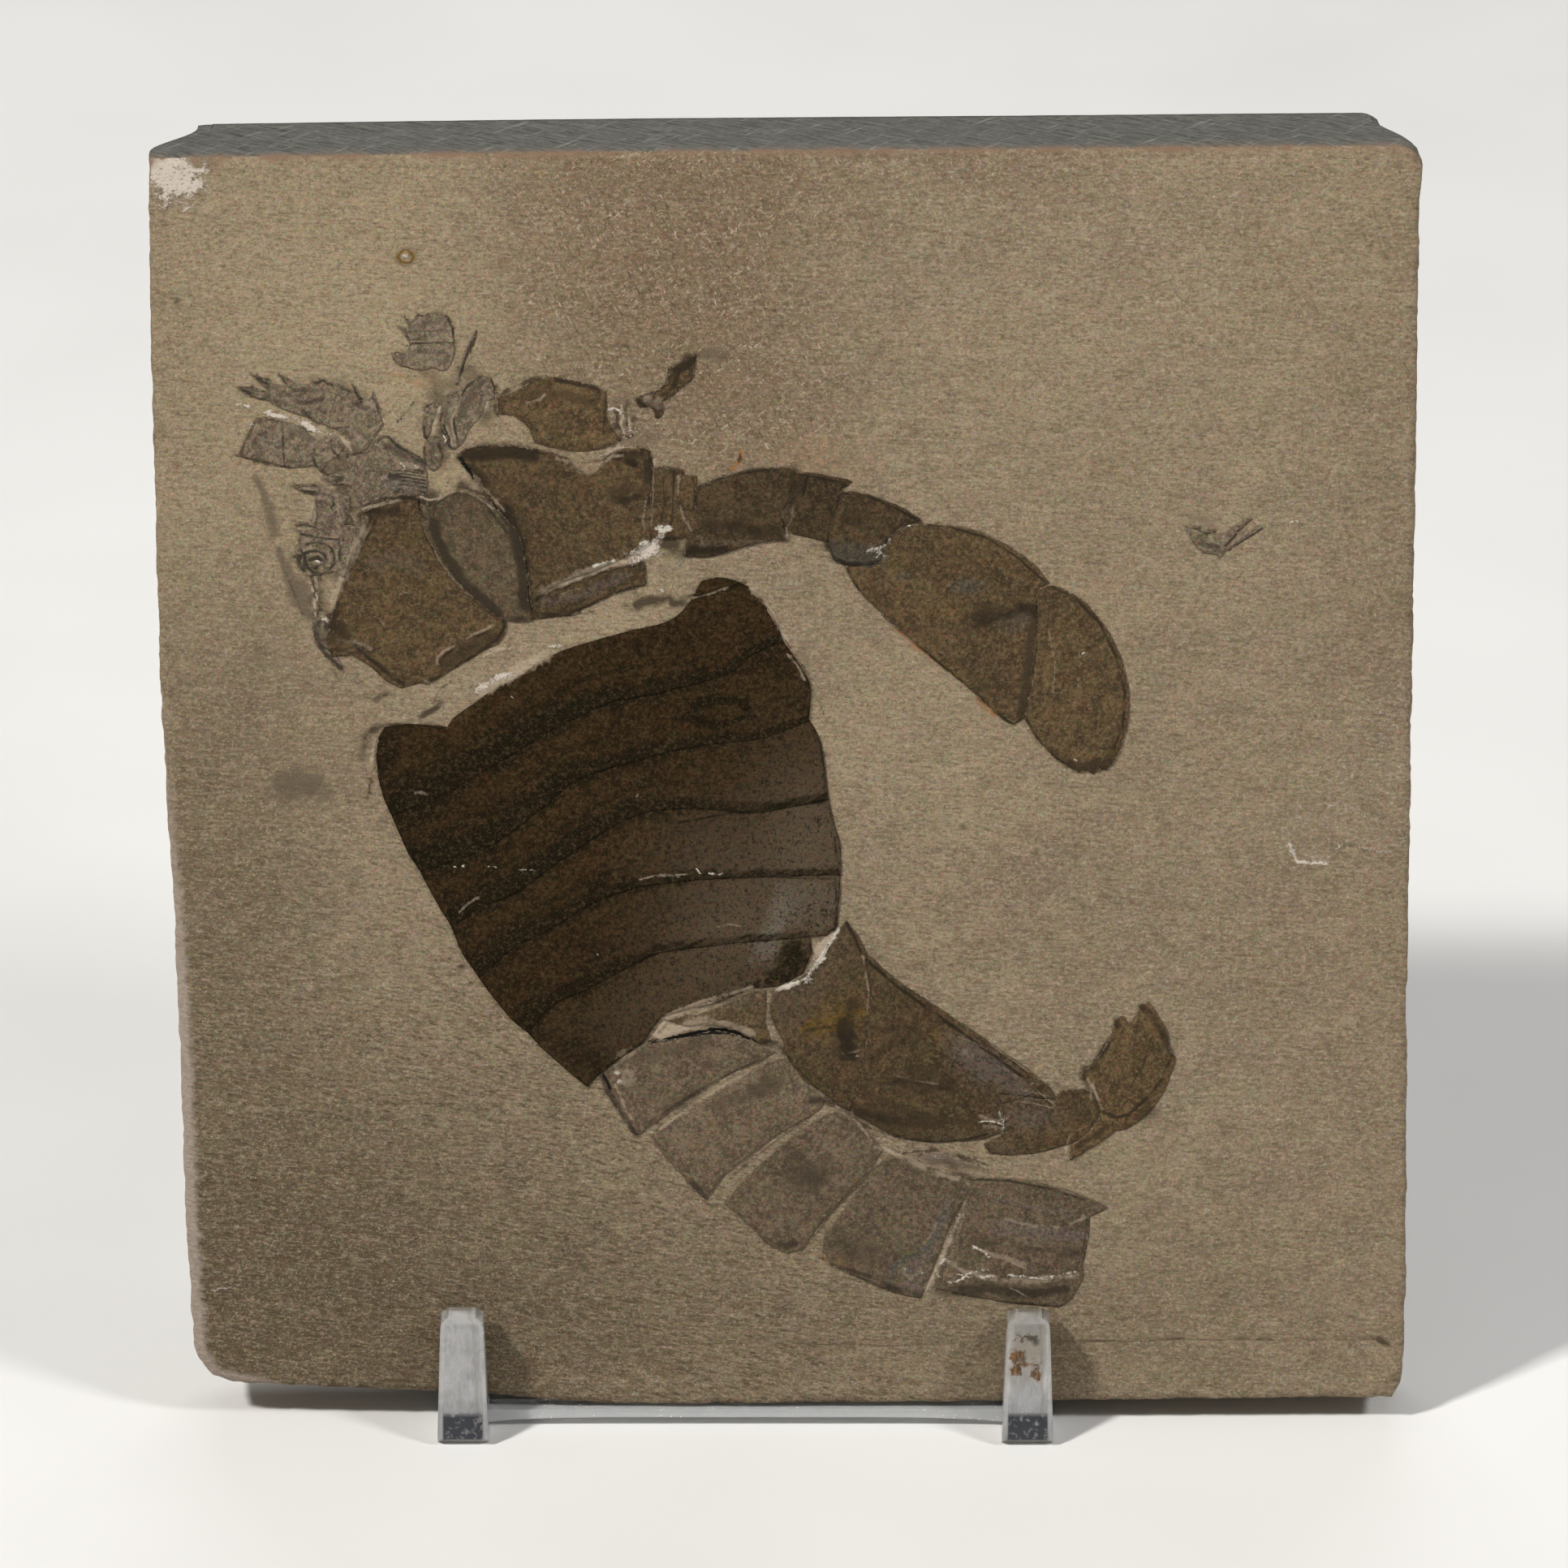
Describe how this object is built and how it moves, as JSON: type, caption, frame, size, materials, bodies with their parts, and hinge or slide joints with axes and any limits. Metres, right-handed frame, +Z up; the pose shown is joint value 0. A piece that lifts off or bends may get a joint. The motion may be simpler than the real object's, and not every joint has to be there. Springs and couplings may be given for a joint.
{
  "type": "eurypterus sea scorpion fossil",
  "caption": "Nearly square stone slab with the flat dark plates, legs and paddles of a fossil sea scorpion on its face, leaning on a small clear plastic easel.",
  "frame": {"origin": "middle of the object's bounding box at the height of the surface it stands on", "axes": "+Z up, -Y the side that the slab's fossil face looks towards, +X to the right seen from the front"},
  "size_m": [0.1426, 0.0728, 0.1529],
  "materials": {
    "waterlime": "matt tan waterlime with a fine sandy grain",
    "clear_plastic": "clear moulded plastic, slightly milky and scuffed",
    "dark_cuticle": "very dark brown fossil cuticle, satin",
    "brown_cuticle": "dark brown fossil cuticle, satin",
    "grey_cuticle": "grey-brown fossil cuticle, matt",
    "leg_cuticle": "thin grey-brown fossil cuticle, matt"
  },
  "bodies": {
    "root": {"slab": "waterlime", "easel": "clear_plastic", "trunk_plate_1": "dark_cuticle", "trunk_plate_2": "dark_cuticle", "trunk_plate_3": "dark_cuticle", "trunk_plate_4": "dark_cuticle", "trunk_plate_5": "dark_cuticle", "trunk_plate_6": "dark_cuticle", "trunk_plate_7": "dark_cuticle", "tail_segment_1": "grey_cuticle", "tail_segment_2": "grey_cuticle", "tail_segment_3": "grey_cuticle", "tail_segment_4": "grey_cuticle", "tail_segment_5": "grey_cuticle", "left_coxa": "brown_cuticle", "metastoma": "brown_cuticle", "right_coxa": "brown_cuticle", "coxa_rim": "brown_cuticle", "upper_coxa": "brown_cuticle", "hooked_leg": "brown_cuticle", "swimming_leg_1": "brown_cuticle", "swimming_leg_2": "brown_cuticle", "swimming_leg_3": "brown_cuticle", "swimming_leg_4": "brown_cuticle", "paddle_blade": "brown_cuticle", "paddle_tip": "brown_cuticle", "second_paddle_base": "brown_cuticle", "second_paddle_blade": "brown_cuticle", "second_paddle_joint": "brown_cuticle", "second_paddle_claw": "brown_cuticle", "spiny_leg_upper": "leg_cuticle", "spiny_leg_lower": "leg_cuticle", "leg_cluster": "leg_cuticle", "leg_stem": "leg_cuticle", "small_claw": "leg_cuticle", "needle": "leg_cuticle", "narrow_plate_1": "leg_cuticle", "narrow_plate_2": "leg_cuticle", "narrow_plate_3": "leg_cuticle", "small_curved_piece": "leg_cuticle", "loose_fragment": "leg_cuticle"}
  },
  "joints": []
}
